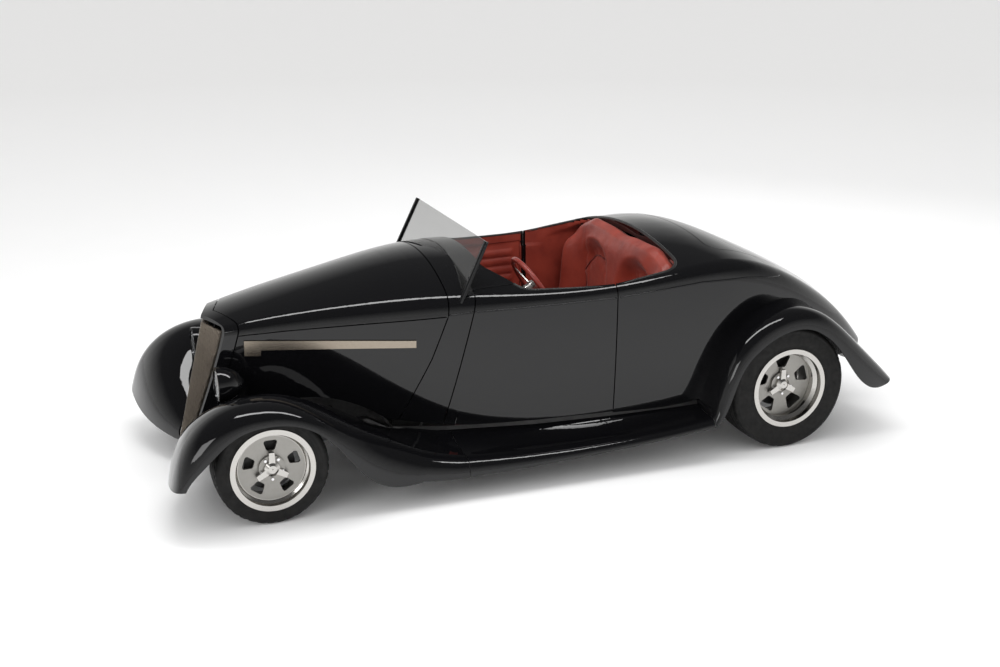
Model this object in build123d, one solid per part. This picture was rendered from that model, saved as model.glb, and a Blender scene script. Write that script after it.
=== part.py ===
"""Street roadster: a fendered two-seat open car on a ladder frame, built as separate panels.

Millimetres. +X points forward, +Y to the car's left, +Z up. The origin is on the ground,
midway between the front fender tips and the tail.
"""

import os
from math import asin, atan2, cos, radians, sin

from build123d import *

# Overall size
WHEELBASE = 2845.0
FRONT_OVERHANG = 480.0
REAR_OVERHANG = 765.0
FENDER_LIP_Y = 860.0
FRONT_AXLE_X = (WHEELBASE + REAR_OVERHANG - FRONT_OVERHANG) / 2
REAR_AXLE_X = FRONT_AXLE_X - WHEELBASE

# Wheels and tyres
FRONT_TYRE_R = 280.0
REAR_TYRE_R = 343.0
KINGPIN_Y = 600.0

# Clearances
PANEL_GAP = 6.0
FIT_GAP = 0.5
REST_GAP = 0.3
PIN_CLEARANCE = 0.08

# Sheet and wall thicknesses
FENDER_SHEET = 9.0
GRILLE_WALL = 16.0
GLASS_THICK = 6.0
TRIM_THICK = 11.0

# Heights of the body and frame
SILL_Z = 286.0
FLOOR_THICK = 22.0
FLOOR_TOP = SILL_Z - FIT_GAP
RAIL_TOP = FLOOR_TOP - FLOOR_THICK - REST_GAP
RAIL_DEPTH = 90.0
RAIL_Y = 360.0
RAIL_WIDTH = 54.0

# Reach of cutting prisms, larger than the car
FAR = 3000.0


def fx(offset):
    """Longitudinal place measured forward from the front axle."""
    return FRONT_AXLE_X + offset


def rx(offset):
    """Longitudinal place measured forward from the rear axle."""
    return REAR_AXLE_X + offset


def side_prism(points, half_width=FAR, inner=None):
    """Prism across the car from points in the side view; with inner, only beyond that |y|."""
    face = make_face(Polyline(*[(x, 0, z) for x, z in points], close=True))
    prism = extrude(face, amount=half_width, dir=(0, 1, 0), both=True)
    if inner is None:
        return prism
    return prism - Box(4 * FAR, 2 * inner, 4 * FAR)


def plan_prism(points, z_low, z_high, radius=0.0, lean=0.0):
    """Upright prism from the left half of a plan outline, mirrored; lean tips it backward."""
    outline = [*points, *[(x, -y) for x, y in reversed(points)]]
    face = make_face(Polyline(*[(x, y, z_low) for x, y in outline], close=True))
    if radius:
        face = fillet(face.vertices(), radius)
    rise = z_high - z_low
    reach = Vector(-rise * lean, 0, rise)
    return extrude(face, amount=reach.length, dir=reach)


def span_box(x0, x1, y0, y1, z0, z1):
    """Box between two corners."""
    box = Box(x1 - x0, y1 - y0, z1 - z0)
    return Pos((x0 + x1) / 2, (y0 + y1) / 2, (z0 + z1) / 2) * box


def rod(start, end, radius):
    """Round bar between two points."""
    start, end = Vector(start), Vector(end)
    plane = Plane(origin=start, z_dir=end - start)
    return plane * Cylinder(radius, (end - start).length, align=(Align.CENTER, Align.CENTER, Align.MIN))


def both_sides(part):
    """A left part together with its mirror image on the right."""
    return Part(children=[]) + [part, mirror(part, Plane.XZ)]


# Body sections from the nose to the tail
BODY_COLUMNS = "x belt_y belt_z sill_y sill_z crown_z shoulder_r wall".split()
BODY_STATIONS = [
    (fx(360), 176, 778, 108, 150, 815, 30, 12),
    (fx(178), 232, 798, 150, 190, 858, 42, 12),
    (fx(-170), 345, 834, 262, 330, 950, 78, 12),
    (fx(-560), 470, 864, 400, 345, 1040, 105, 14),
    (fx(-962), 592, 893, 545, 300, 1110, 110, 26),
    (fx(-1423), 655, 915, 628, SILL_Z, 1105, 75, 50),
    (rx(1002), 682, 930, 656, SILL_Z, 1090, 66, 50),
    (rx(572), 690, 958, 662, SILL_Z, 1128, 85, 45),
    (rx(322), 682, 950, 655, 320, 1122, 105, 38),
    (rx(22), 634, 868, 615, 345, 1014, 110, 32),
    (rx(-278), 550, 708, 536, 352, 868, 118, 30),
    (rx(-528), 454, 540, 442, 357, 706, 116, 28),
    (rx(-688), 372, 430, 364, 360, 540, 78, 26),
    (rx(-765), 318, 388, 312, 364, 432, 30, 26),
]


def body_section(x, belt_y, belt_z, sill_y, sill_z, crown_z, shoulder_r):
    """Closed cross-section: flat sill, bowed sides upright at the belt, shoulders and one crown arc."""
    bow = belt_y - sill_y
    rise = belt_z - sill_z
    side_r = (rise**2 + bow**2) / (2 * bow)
    half_side = asin(rise / side_r) / 2
    side_mid = (belt_y - side_r + side_r * cos(half_side), belt_z - side_r * sin(half_side))
    span = belt_y - shoulder_r
    height = crown_z - belt_z
    crown_r = (span**2 + height**2 - shoulder_r**2) / (2 * (height - shoulder_r))
    turn = atan2(crown_r - height, span)
    shoulder_mid = (span + shoulder_r * cos(turn / 2), belt_z + shoulder_r * sin(turn / 2))
    shoulder_end = (span + shoulder_r * cos(turn), belt_z + shoulder_r * sin(turn))
    left = [(sill_y, sill_z), side_mid, (belt_y, belt_z), shoulder_mid, shoulder_end]
    right = [(-y, z) for y, z in reversed(left)]
    points = [Vector(x, y, z) for y, z in left + [(0, crown_z)] + right]
    arcs = [ThreePointArc(*points[i : i + 3]) for i in (0, 2, 4, 6, 8)]
    return make_face([*arcs, Line(points[-1], points[0])])


def body_loft(grow=0.0):
    """The whole outer body as one solid, grown outward."""
    sections = []
    for row in BODY_STATIONS:
        s = dict(zip(BODY_COLUMNS, row))
        sections.append(
            body_section(
                s["x"],
                s["belt_y"] + grow,
                s["belt_z"],
                s["sill_y"] + grow,
                s["sill_z"] - grow,
                s["crown_z"] + grow,
                s["shoulder_r"] + grow / 2,
            )
        )
    return loft(sections)


def body_hollow(gap=0.0, drop=80.0):
    """The space inside the body walls, shrunk by a gap, open below and at the nose."""
    nose, tail = BODY_STATIONS[0], BODY_STATIONS[-1]
    sections = []
    for row in BODY_STATIONS:
        s = dict(zip(BODY_COLUMNS, row))
        inset = s["wall"] + gap
        push = {nose: 40.0, tail: s["wall"]}.get(row, 0.0)
        sections.append(
            body_section(
                s["x"] + push,
                s["belt_y"] - inset,
                s["belt_z"],
                s["sill_y"] - inset,
                s["sill_z"] - drop,
                s["crown_z"] - inset,
                max(s["shoulder_r"] - inset / 2, 8.0),
            )
        )
    return loft(sections)


# Panel seams in the side view, from top to bottom
HOOD_SEAM = [
    (fx(-984), 1300),
    (fx(-972), 1007),
    (fx(-960), 895),
    (fx(-878), 667),
    (fx(-802), 500),
    (fx(-622), 100),
]
DOOR_SEAM = [(fx(-1181), 1300), (fx(-1084), 893), (fx(-893), 100)]
QUARTER_SEAM = [(rx(992), 1300), (rx(992), 100)]
BELT_SEAM = [
    (fx(400), 766),
    (fx(178), 792),
    (fx(-170), 828),
    (fx(-560), 858),
    (fx(-962), 888),
    (fx(-1100), 898),
]
COWL_CENTRE_Y = 535.0
COWL_REAR_X = fx(-1445)

# Cockpit opening and deck lid in plan, left half from front to rear
COCKPIT_PLAN = [(fx(-1225), 350), (fx(-1370), 585), (rx(1000), 645), (rx(600), 625)]
COCKPIT_CORNER_R = 120.0
LID_PLAN = [(rx(352), 500), (rx(-640), 300)]
LID_CORNER_R = 90.0
LID_LEAN = 0.5

# Grille prow: a raked vee in plan
PROW_X = fx(385)
PROW_RAKE = 0.242
PROW_SWEEP = 0.314
GRILLE_DEPTH = 55.0


def shifted(seam, offset):
    return [(x + offset, z) for x, z in seam]


def between(front_seam, rear_seam, inner=None):
    """Zone between two seams, kept half a panel gap away from each."""
    ahead = shifted(front_seam, -PANEL_GAP / 2)
    behind = shifted(rear_seam, PANEL_GAP / 2)
    return side_prism([*ahead, *reversed(behind)], inner=inner)


def behind_prow(setback):
    """Everything behind the raked vee of the prow, set back along the car."""
    x = PROW_X - setback
    wing = 900.0
    wing_x = x - PROW_SWEEP * wing
    plan = [(x, 0), (wing_x, wing), (-FAR, wing), (-FAR, -wing), (wing_x, -wing)]
    face = make_face(Polyline(*[(px, py, 0) for px, py in plan], close=True))
    reach = Vector(-PROW_RAKE, 0, 1) * 1400
    return extrude(face, amount=reach.length, dir=reach)


nodes = {}

outer = body_loft()
outer_clear = body_loft(FIT_GAP)
hollow = body_hollow()
hollow_clear = body_hollow(FIT_GAP)
shell = outer - hollow

# Hood, split along the belt, behind the grille shell
nose_seam = [(FAR, 1300), (FAR, 100)]
hood_zone = between(nose_seam, HOOD_SEAM) & behind_prow(GRILLE_DEPTH + PANEL_GAP)
hood_skin = shell & hood_zone
above_belt = side_prism([*[(x, z + PANEL_GAP) for x, z in BELT_SEAM], (fx(-1100), 1400), (fx(400), 1400)])
below_belt = side_prism([*BELT_SEAM, (fx(-1100), 0), (fx(400), 0)])
nodes["hood_top"] = hood_skin & above_belt
nodes["hood_sides"] = hood_skin & below_belt

# Grille shell: a closed ring at the nose, with upright bars inside it
NOSE_ROWS = BODY_STATIONS[:3]
GRILLE_SILL_RISE = 18.0


def grille_opening(gap):
    sections = []
    for row in NOSE_ROWS:
        s = dict(zip(BODY_COLUMNS, row))
        inset = GRILLE_WALL + gap
        push = 60.0 if row is NOSE_ROWS[0] else 0.0
        sections.append(
            body_section(
                s["x"] + push,
                s["belt_y"] - inset,
                s["belt_z"],
                s["sill_y"] - inset,
                s["sill_z"] + GRILLE_SILL_RISE + gap,
                s["crown_z"] - inset,
                s["shoulder_r"] - inset / 2,
            )
        )
    return loft(sections)


nose = outer & behind_prow(0) - behind_prow(GRILLE_DEPTH)
nodes["grille_shell"] = nose - grille_opening(0)

BAR_PITCH = 12.0
BAR_WIDTH = 4.5
BAR_DEPTH = 14.0
BAR_SETBACK = 8.0
BAR_COUNT = 16
BAR_OUTLINE = [(820, 203), (770, 208), (190, 92)]
GRILLE_RAIL_HEIGHTS = (480, 760)
GRILLE_FOOT_TOP = 210.0
GRILLE_RAIL = 8.0
bar_reach = Vector(-PROW_RAKE, 0, 1) * 1000
outline = [(y, z) for z, y in BAR_OUTLINE]
outline = outline + [(-y, z) for y, z in reversed(outline)]
bar_field = make_face(Polyline(*[(fx(-400), y, z) for y, z in outline], close=True))
bar_field = extrude(bar_field, amount=FAR, dir=(1, 0, 0))
bar_rects = []
for k in range(-BAR_COUNT, BAR_COUNT + 1):
    y = k * BAR_PITCH
    x = PROW_X - BAR_SETBACK - PROW_SWEEP * abs(y)
    bar_rects.append(Pos(x - BAR_DEPTH / 2, y) * Rectangle(BAR_DEPTH, BAR_WIDTH))
bars = extrude(Sketch() + bar_rects, amount=bar_reach.length, dir=bar_reach)
rail_setback = BAR_SETBACK + BAR_DEPTH + REST_GAP
rail_layer = behind_prow(rail_setback) - behind_prow(rail_setback + GRILLE_RAIL)
grille_foot = rail_layer & span_box(0, FAR, -95, 95, 0, GRILLE_FOOT_TOP) & grille_opening(FIT_GAP)
rail_bands = [span_box(0, FAR, -400, 400, z, z + GRILLE_RAIL) for z in GRILLE_RAIL_HEIGHTS]
cross_rails = rail_layer & (Part() + rail_bands) & bar_field
bars = bars & bar_field
nodes["grille_bars"] = Compound(children=[*bars.solids(), *cross_rails.solids(), *grille_foot.solids()])

# Cowl, doors, rear body and deck lid
cockpit = plan_prism(COCKPIT_PLAN, 900, 1400, COCKPIT_CORNER_R)
upper = shell - cockpit
cowl_zone = between(HOOD_SEAM, DOOR_SEAM)
cowl_zone = cowl_zone + span_box(COWL_REAR_X, fx(-1045), -COWL_CENTRE_Y, COWL_CENTRE_Y, 860, 1300)
nodes["cowl"] = upper & cowl_zone

door_zone = between(DOOR_SEAM, QUARTER_SEAM, inner=COWL_CENTRE_Y + PANEL_GAP)
door_zone = door_zone & span_box(-FAR, FAR, -FAR, FAR, SILL_Z + PANEL_GAP, 1400)
doors = upper & door_zone
nodes["door_left"] = doors & span_box(-FAR, FAR, 0, FAR, 0, FAR)
nodes["door_right"] = doors & span_box(-FAR, FAR, -FAR, 0, 0, FAR)

TUB_ROOM = 37.0
TUB_R = REAR_TYRE_R + TUB_ROOM
TUB_SHEET = 8.0
TUB_INNER_Y = 530.0
TUB_OUTER_Y = 760.0


def wheel_well(radius, inner_y):
    """Cylinder about the rear axle on the left, from inner_y outward."""
    return rod((REAR_AXLE_X, inner_y, REAR_TYRE_R), (REAR_AXLE_X, TUB_OUTER_Y, REAR_TYRE_R), radius)


tail_end = [(-FAR, 1300), (-FAR, 100)]
rear_zone = between(QUARTER_SEAM, tail_end)
rear_skin = upper & rear_zone
LID_LOW = 380.0
lean_shift = LID_LEAN * (1100 - LID_LOW)
lid_plan = [(x + lean_shift, y) for x, y in LID_PLAN]
(lid_front_x, lid_front_y), (lid_rear_x, lid_rear_y) = lid_plan
lid_hole = plan_prism(lid_plan, LID_LOW, 1500, LID_CORNER_R, LID_LEAN)
lid_plan_small = [
    (lid_front_x - PANEL_GAP, lid_front_y - PANEL_GAP),
    (lid_rear_x + PANEL_GAP, lid_rear_y - PANEL_GAP),
]
lid_plug = plan_prism(lid_plan_small, LID_LOW, 1500, LID_CORNER_R - PANEL_GAP, LID_LEAN)
above_tail = span_box(-FAR, FAR, -FAR, FAR, 470, 1400)
nodes["deck_lid"] = rear_skin & lid_plug & above_tail
tub_hole = both_sides(wheel_well(TUB_R + FIT_GAP, TUB_INNER_Y))
nodes["rear_body"] = rear_skin - (lid_hole & above_tail) - tub_hole

tub = wheel_well(TUB_R, TUB_INNER_Y) - wheel_well(TUB_R - TUB_SHEET, TUB_INNER_Y + TUB_SHEET)
tub = tub & span_box(-FAR, FAR, 0, 640, REAR_TYRE_R + 60, FAR)
nodes["wheel_tubs"] = both_sides(tub & hollow_clear)

# Floor under the cabin, and the bulkhead and floor of the luggage space
FLOOR_PLAN = [(fx(-700), 440), (fx(-962), 533), (fx(-1423), 616), (rx(1002), 644), (rx(472), 650)]
floor = plan_prism(FLOOR_PLAN, FLOOR_TOP - FLOOR_THICK, FLOOR_TOP)
floor_clear = offset(floor, FIT_GAP)

# Propeller shaft line and the tunnel that covers it
SHAFT_Z = 205.0
SHAFT_R = 34.0
SHAFT_ROOM = 12.0
TUNNEL_SHEET = 8.0
SHAFT_FRONT = (fx(-1100), SHAFT_Z)
SHAFT_REAR = (rx(112), REAR_TYRE_R)


def tunnel(room, rear_x):
    """Block along the shaft, from under the floor to a slope above the shaft by the given room."""
    (x0, z0), (x1, z1) = SHAFT_FRONT, SHAFT_REAR
    rear_z = z0 + (z1 - z0) * (x0 - rear_x) / (x0 - x1)
    high = SHAFT_R + room
    return side_prism([(x0, 100), (x0, z0 + high), (rear_x, rear_z + high), (rear_x, 100)], SHAFT_R + room)


above_floor = span_box(-FAR, FAR, -FAR, FAR, FLOOR_TOP - FLOOR_THICK, FAR)
floor = floor + (tunnel(SHAFT_ROOM + TUNNEL_SHEET, rx(472)) & above_floor)
nodes["floor"] = floor - tunnel(SHAFT_ROOM, rx(300))
tunnel_clear = tunnel(SHAFT_ROOM + TUNNEL_SHEET + FIT_GAP, rx(300))
PLATE = 10.0
TRUNK_FLOOR_Z = REAR_TYRE_R + 187.0
BULKHEAD_X = rx(470)
trunk = span_box(rx(-660), BULKHEAD_X, -515, 515, TRUNK_FLOOR_Z, TRUNK_FLOOR_Z + PLATE)
trunk = trunk + span_box(BULKHEAD_X - PLATE, BULKHEAD_X, -FAR, FAR, FLOOR_TOP + REST_GAP, 1200)
nodes["trunk_floor"] = (trunk & hollow_clear) - tunnel_clear
firewall_line = [(fx(-1052), 1150), (fx(-1022), 893), (fx(-830), FLOOR_TOP + REST_GAP)]
firewall = side_prism([*firewall_line, *reversed(shifted(firewall_line, -PLATE))])
nodes["firewall"] = firewall & hollow_clear

# Stays that carry the hood sides from the firewall
STAY_R = 6.0
STAY_Y = 512.0
STAY_Z = 600.0
firewall_room = side_prism([*shifted(firewall_line, REST_GAP), *reversed(shifted(firewall_line, -FAR))])
stay = rod((fx(-790), STAY_Y, STAY_Z), (fx(-960), STAY_Y, STAY_Z), STAY_R) - firewall_room
nodes["hood_sides"] = nodes["hood_sides"] + both_sides(stay)

# Fenders and running boards: thin bowed sections set square to a path
FENDER_COLUMNS = "x z tilt cant crown_y lip_y lip_drop inner_y inner_drop".split()
FRONT_FENDER = [
    (fx(480), 232, 92, 10, 730, 858, 55, 120, 180),
    (fx(450), 345, 72, 6, 720, FENDER_LIP_Y, 86, 140, 170),
    (fx(378), 475, 48, 2, 710, FENDER_LIP_Y, 114, 170, 250),
    (fx(250), 572, 25, 0, 705, FENDER_LIP_Y, 105, 245, 310),
    (fx(48), 616, 0, 0, 705, FENDER_LIP_Y, 88, 240, 310),
    (fx(-172), 572, -17, 0, 695, FENDER_LIP_Y, 76, 300, 175),
    (fx(-372), 455, -28, 0, 680, FENDER_LIP_Y, 110, 320, 50),
    (fx(-552), 350, -24, 0, 700, 858, 185, 400, 20),
    (fx(-762), 259, -14, 0, 740, 859, 125, 470, -20),
    (fx(-978), 212, -4, 0, 775, FENDER_LIP_Y, 87, 520, -55),
]
RUNNING_BOARD = [
    (fx(-982), 212, -4, 0, 775, FENDER_LIP_Y, 87, 520, -55),
    (rx(1230), 198, 0, 0, 785, FENDER_LIP_Y, 52, 610, -72),
    (rx(REAR_TYRE_R + 141), 246, 0, 0, 785, FENDER_LIP_Y, 46, 630, -28),
]
REAR_FENDER = [
    (rx(REAR_TYRE_R + 137), 247, 12, 0, 785, FENDER_LIP_Y, 47, 656, -12),
    (rx(REAR_TYRE_R + 119), 300, 42, 0, 780, FENDER_LIP_Y, 54, 630, -40),
    (rx(REAR_TYRE_R + 49), REAR_TYRE_R + 157, 62, 0, 770, FENDER_LIP_Y, 60, 580, -30),
    (rx(292), 2 * REAR_TYRE_R - 26, 42, 0, 762, FENDER_LIP_Y, 85, 580, -30),
    (rx(122), 2 * REAR_TYRE_R + 81, 18, 0, 757, FENDER_LIP_Y, 95, 560, -30),
    (rx(-28), 2 * REAR_TYRE_R + 104, 0, 0, 755, FENDER_LIP_Y, 97, 540, -35),
    (rx(-198), 2 * REAR_TYRE_R + 56, -20, 0, 750, FENDER_LIP_Y, 105, 490, -30),
    (rx(-REAR_TYRE_R - 25), REAR_TYRE_R + 269, -38, 0, 738, 858, 120, 410, -20),
    (rx(-REAR_TYRE_R - 185), REAR_TYRE_R + 124, -45, 0, 715, 852, 155, 350, 20),
    (rx(-688), 315, -75, 0, 680, 820, 100, 320, 30),
]

CATWALK_BEND = 0.6


def fender_plane(row):
    """Plane of one fender section, its normal pointing forward."""
    s = dict(zip(FENDER_COLUMNS, row))
    tilt, cant = radians(s["tilt"]), radians(s["cant"])
    across = Vector(0, cos(cant), sin(cant))
    up = Vector(sin(tilt), -cos(tilt) * sin(cant), cos(tilt) * cos(cant))
    return Plane(origin=(s["x"], s["crown_y"], s["z"]), x_dir=across, z_dir=across.cross(up))


def fender_section(row):
    """Thin section of a fender sheet, square to its run."""
    s = dict(zip(FENDER_COLUMNS, row))
    plane = fender_plane(row)
    inner, inner_z = s["inner_y"] - s["crown_y"], -s["inner_drop"]
    edges = []
    ends = []
    for depth in (0.0, FENDER_SHEET):
        lip = s["lip_y"] - s["crown_y"] - depth
        skin = [(lip, -s["lip_drop"]), (lip, -depth), (0, -depth)]
        skin += [(inner * CATWALK_BEND, -depth), (inner, inner_z - depth)]
        skin = [plane.from_local_coords(p) for p in skin]
        edges += [Bezier(*skin[0:3]), Bezier(*skin[2:5])]
        ends.append((skin[0], skin[4]))
    edges += [Line(ends[0][0], ends[1][0]), Line(ends[0][1], ends[1][1])]
    return make_face(edges)


def fender_sheet(rows, breaks=()):
    """Fender sheet lofted in runs that meet at the break rows."""
    stops = [0, *breaks, len(rows) - 1]
    sheet = None
    for first, last in zip(stops, stops[1:]):
        run = loft([fender_section(row) for row in rows[max(first - 1, 0):last + 2]])
        if first > 0:
            run -= fender_plane(rows[first]) * Pos(0, 0, FAR / 2) * Box(FAR, FAR, FAR)
        if last < len(rows) - 1:
            run -= fender_plane(rows[last]) * Pos(0, 0, -FAR / 2) * Box(FAR, FAR, FAR)
        sheet = run if sheet is None else sheet + run
    return sheet


def fender_loft(rows, breaks=()):
    """Fender sheet trimmed to the body and the floor."""
    return fender_sheet(rows, breaks) - outer_clear - floor_clear


for name, rows, breaks in [
    ("front_fenders", FRONT_FENDER, (4, 8)),
    ("running_boards", RUNNING_BOARD, ()),
    ("rear_fenders", REAR_FENDER, (3, 6)),
]:
    nodes[name] = both_sides(fender_loft(rows, breaks))

# Frame: two side rails kicked up over the rear axle, joined by crossmembers
KICK_RISE = 162.0
KICK_TOP = REAR_TYRE_R + KICK_RISE
RAIL_LINE = [
    (fx(125), 325),
    (fx(-580), 325),
    (fx(-690), RAIL_TOP),
    (rx(458), RAIL_TOP),
    (rx(250), KICK_TOP),
    (rx(-280), KICK_TOP),
    (rx(-560), KICK_TOP - 45),
]
TOWER_TOP = 425.0
TOWER_PLATE = 24.0
COIL_Y = 425.0
COIL_R = 32.0
rail_side = [*RAIL_LINE, *[(x, z - RAIL_DEPTH) for x, z in reversed(RAIL_LINE)]]
rail = side_prism(rail_side, RAIL_Y + RAIL_WIDTH / 2, RAIL_Y - RAIL_WIDTH / 2)
CROSSMEMBERS = [
    (fx(60), fx(120), 150, 205),
    (fx(-1535), fx(-1475), 176, 200),
    (rx(700), rx(780), 176, 200),
    (rx(150), rx(210), KICK_TOP - 25, KICK_TOP - 1),
    (rx(-556), rx(-500), KICK_TOP - 120, KICK_TOP - 50),
]
inner_y = RAIL_Y - RAIL_WIDTH / 2 + 5
frame = rail + [span_box(x0, x1, -inner_y, inner_y, z0, z1) for x0, x1, z0, z1 in CROSSMEMBERS]
tower = span_box(fx(-40), fx(40), RAIL_Y - 10, RAIL_Y + 20, 300, TOWER_TOP)
tower = tower + span_box(fx(-40), fx(40), RAIL_Y - 10, COIL_Y + 40, TOWER_TOP - TOWER_PLATE, TOWER_TOP)
hanger = span_box(fx(60), fx(120), RAIL_Y - 22, RAIL_Y + 22, 150, 250)
frame = frame + both_sides(tower + hanger)
TOW_HOLE_R = 6.5
TOW_SPACING_Y = 300.0
TOW_SPACING_Z = 28.0
TOW_Z = 178.0
for side_y in (-1, 1):
    for side_z in (-1, 1):
        y, z = side_y * TOW_SPACING_Y / 2, TOW_Z + side_z * TOW_SPACING_Z / 2
        frame = frame - rod((fx(55), y, z), (fx(125), y, z), TOW_HOLE_R)
nodes["frame"] = frame

# Engine as one plain block on its mounts, gearbox and propeller shaft below the floor
engine = span_box(fx(-640), fx(-150), -190, 190, 240, 720)
lug = span_box(fx(-440), fx(-360), 180, RAIL_Y + RAIL_WIDTH / 2, 325 + REST_GAP, 350)
nodes["engine"] = engine + both_sides(lug)
gearbox = span_box(fx(-1100), fx(-640) - REST_GAP, -85, 85, 150, 255)
(front_x, front_z), (rear_x, rear_z) = SHAFT_FRONT, SHAFT_REAR
gearbox = gearbox + rod((front_x, 0, front_z), (rear_x, 0, rear_z), SHAFT_R)

# Exhaust: one pipe and silencer each side under the floor
EXHAUST_Y = 235.0
EXHAUST_Z = 150.0
PIPE_R = 22.0
SILENCER_R = 42.0
exhaust = rod((fx(-660), EXHAUST_Y, EXHAUST_Z), (rx(560), EXHAUST_Y, EXHAUST_Z), PIPE_R)
exhaust = exhaust + rod((rx(830), EXHAUST_Y, EXHAUST_Z), (rx(1280), EXHAUST_Y, EXHAUST_Z), SILENCER_R)
pipe_hanger = span_box(rx(1040), rx(1080), EXHAUST_Y - 12, EXHAUST_Y + 12, EXHAUST_Z, RAIL_TOP)
nodes["exhaust"] = both_sides(exhaust + pipe_hanger)

# Front axle: dropped tube with kingpin bosses, carried on upright coil units
HUB_Z = FRONT_TYRE_R
BEAM_Z = 182.0
BEAM_R = 22.0
BOSS_R = 18.0
BOSS_HALF = 38.0
KINGPIN_R = 10.0
beam_path = FilletPolyline(
    (FRONT_AXLE_X, -KINGPIN_Y + 12, HUB_Z),
    (FRONT_AXLE_X, -480, BEAM_Z),
    (FRONT_AXLE_X, 480, BEAM_Z),
    (FRONT_AXLE_X, KINGPIN_Y - 12, HUB_Z),
    radius=70,
)
beam_end = Plane(origin=beam_path @ 0, z_dir=beam_path % 0)
axle = sweep(beam_end * Circle(BEAM_R), path=beam_path)
boss = rod(
    (FRONT_AXLE_X, KINGPIN_Y, HUB_Z - BOSS_HALF), (FRONT_AXLE_X, KINGPIN_Y, HUB_Z + BOSS_HALF), BOSS_R
)
coil_top = TOWER_TOP - TOWER_PLATE - REST_GAP
coil = rod((FRONT_AXLE_X, COIL_Y, BEAM_Z), (FRONT_AXLE_X, COIL_Y, coil_top), COIL_R)
axle = axle + both_sides(boss + coil)
bore = rod(
    (FRONT_AXLE_X, KINGPIN_Y, HUB_Z - 60), (FRONT_AXLE_X, KINGPIN_Y, HUB_Z + 60), KINGPIN_R + PIN_CLEARANCE
)
nodes["front_axle"] = axle - both_sides(bore)

# Steering knuckles: forked about the boss, with spindle, brake drum and steering arm
SPINDLE_R = 25.0
ARM_BACK = 100.0
ARM_Y = KINGPIN_Y
ARM_THICK = 14.0
TIE_PIN_R = 8.0
TIE_EYE_R = 17.0
TIE_EYE_HIGH = 20.0
TIE_ROD_R = 10.0
FORK_GAP = 6.0
FORK_HALF = 18.0
FORK_REACH = 14.0
FORK_PLATE = 16.0
kx, ky = FRONT_AXLE_X, KINGPIN_Y
fork_in = BOSS_HALF + FORK_GAP
fork_out = fork_in + FORK_PLATE
knuckle = rod((kx, ky, HUB_Z - fork_out), (kx, ky, HUB_Z + fork_out), KINGPIN_R)
for z0, z1 in [(HUB_Z + fork_in, HUB_Z + fork_out), (HUB_Z - fork_out, HUB_Z - fork_in)]:
    knuckle = knuckle + span_box(kx - FORK_HALF, kx + FORK_HALF, ky - FORK_REACH, ky + 34, z0, z1)
fork_y = ky + BOSS_R + FORK_GAP
knuckle = knuckle + span_box(
    kx - FORK_HALF, kx + FORK_HALF, fork_y, ky + 36, HUB_Z - fork_out, HUB_Z + fork_out
)
knuckle = knuckle + rod((kx, ky + 30, HUB_Z), (kx, ky + 140, HUB_Z), SPINDLE_R)
knuckle = knuckle + rod((kx, ky + 34, HUB_Z), (kx, ky + 100, HUB_Z), 125)
arm = make_face(
    Polyline(
        (kx + FORK_HALF, ky + FORK_REACH),
        (kx + FORK_HALF, ky - FORK_REACH),
        (kx - ARM_BACK, ARM_Y - TIE_EYE_R),
        (kx - ARM_BACK - 16, ARM_Y),
        (kx - ARM_BACK, ARM_Y + TIE_EYE_R),
        (kx - FORK_HALF, ky + FORK_REACH),
        close=True,
    )
)
knuckle = knuckle + Pos(0, 0, HUB_Z - fork_out) * extrude(arm, ARM_THICK)
tie_top = HUB_Z - fork_out - FORK_GAP
arm_x = kx - ARM_BACK
knuckle = knuckle + rod((arm_x, ARM_Y, tie_top - TIE_EYE_HIGH), (arm_x, ARM_Y, tie_top + 10), TIE_PIN_R)
nodes["knuckle_left"] = knuckle
nodes["knuckle_right"] = mirror(knuckle, Plane.XZ)

tie_z = tie_top - TIE_EYE_HIGH / 2
tie_end_y = ARM_Y - TIE_EYE_R + 3
tie = rod((kx - ARM_BACK, -tie_end_y, tie_z), (kx - ARM_BACK, tie_end_y, tie_z), TIE_ROD_R - 1)
eye_low = (kx - ARM_BACK, ARM_Y, tie_top - TIE_EYE_HIGH)
tie = tie + both_sides(rod(eye_low, (kx - ARM_BACK, ARM_Y, tie_top), TIE_EYE_R))
tie_bore = rod((kx - ARM_BACK, ARM_Y, 0), (kx - ARM_BACK, ARM_Y, 400), TIE_PIN_R + PIN_CLEARANCE)
nodes["tie_rod"] = tie - both_sides(tie_bore)

# Rear axle with differential housing, spring pads to the rails, and shaft ends
REAR_SHAFT_R = 30.0
housing = rod((REAR_AXLE_X, -590, REAR_TYRE_R), (REAR_AXLE_X, 590, REAR_TYRE_R), 38)
housing = housing + Pos(REAR_AXLE_X, 0, REAR_TYRE_R) * Sphere(118)
pad = rod((REAR_AXLE_X, RAIL_Y, REAR_TYRE_R), (REAR_AXLE_X, RAIL_Y, KICK_TOP - RAIL_DEPTH - REST_GAP), 26)
drum = rod((REAR_AXLE_X, 588, REAR_TYRE_R), (REAR_AXLE_X, 650, REAR_TYRE_R), 140)
shaft_end = rod((REAR_AXLE_X, 640, REAR_TYRE_R), (REAR_AXLE_X, 702, REAR_TYRE_R), REAR_SHAFT_R)
nodes["rear_axle"] = housing + both_sides(pad + drum + shaft_end)
nodes["drive_line"] = gearbox - Pos(REAR_AXLE_X, 0, REAR_TYRE_R) * Sphere(118 + FIT_GAP)

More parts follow.
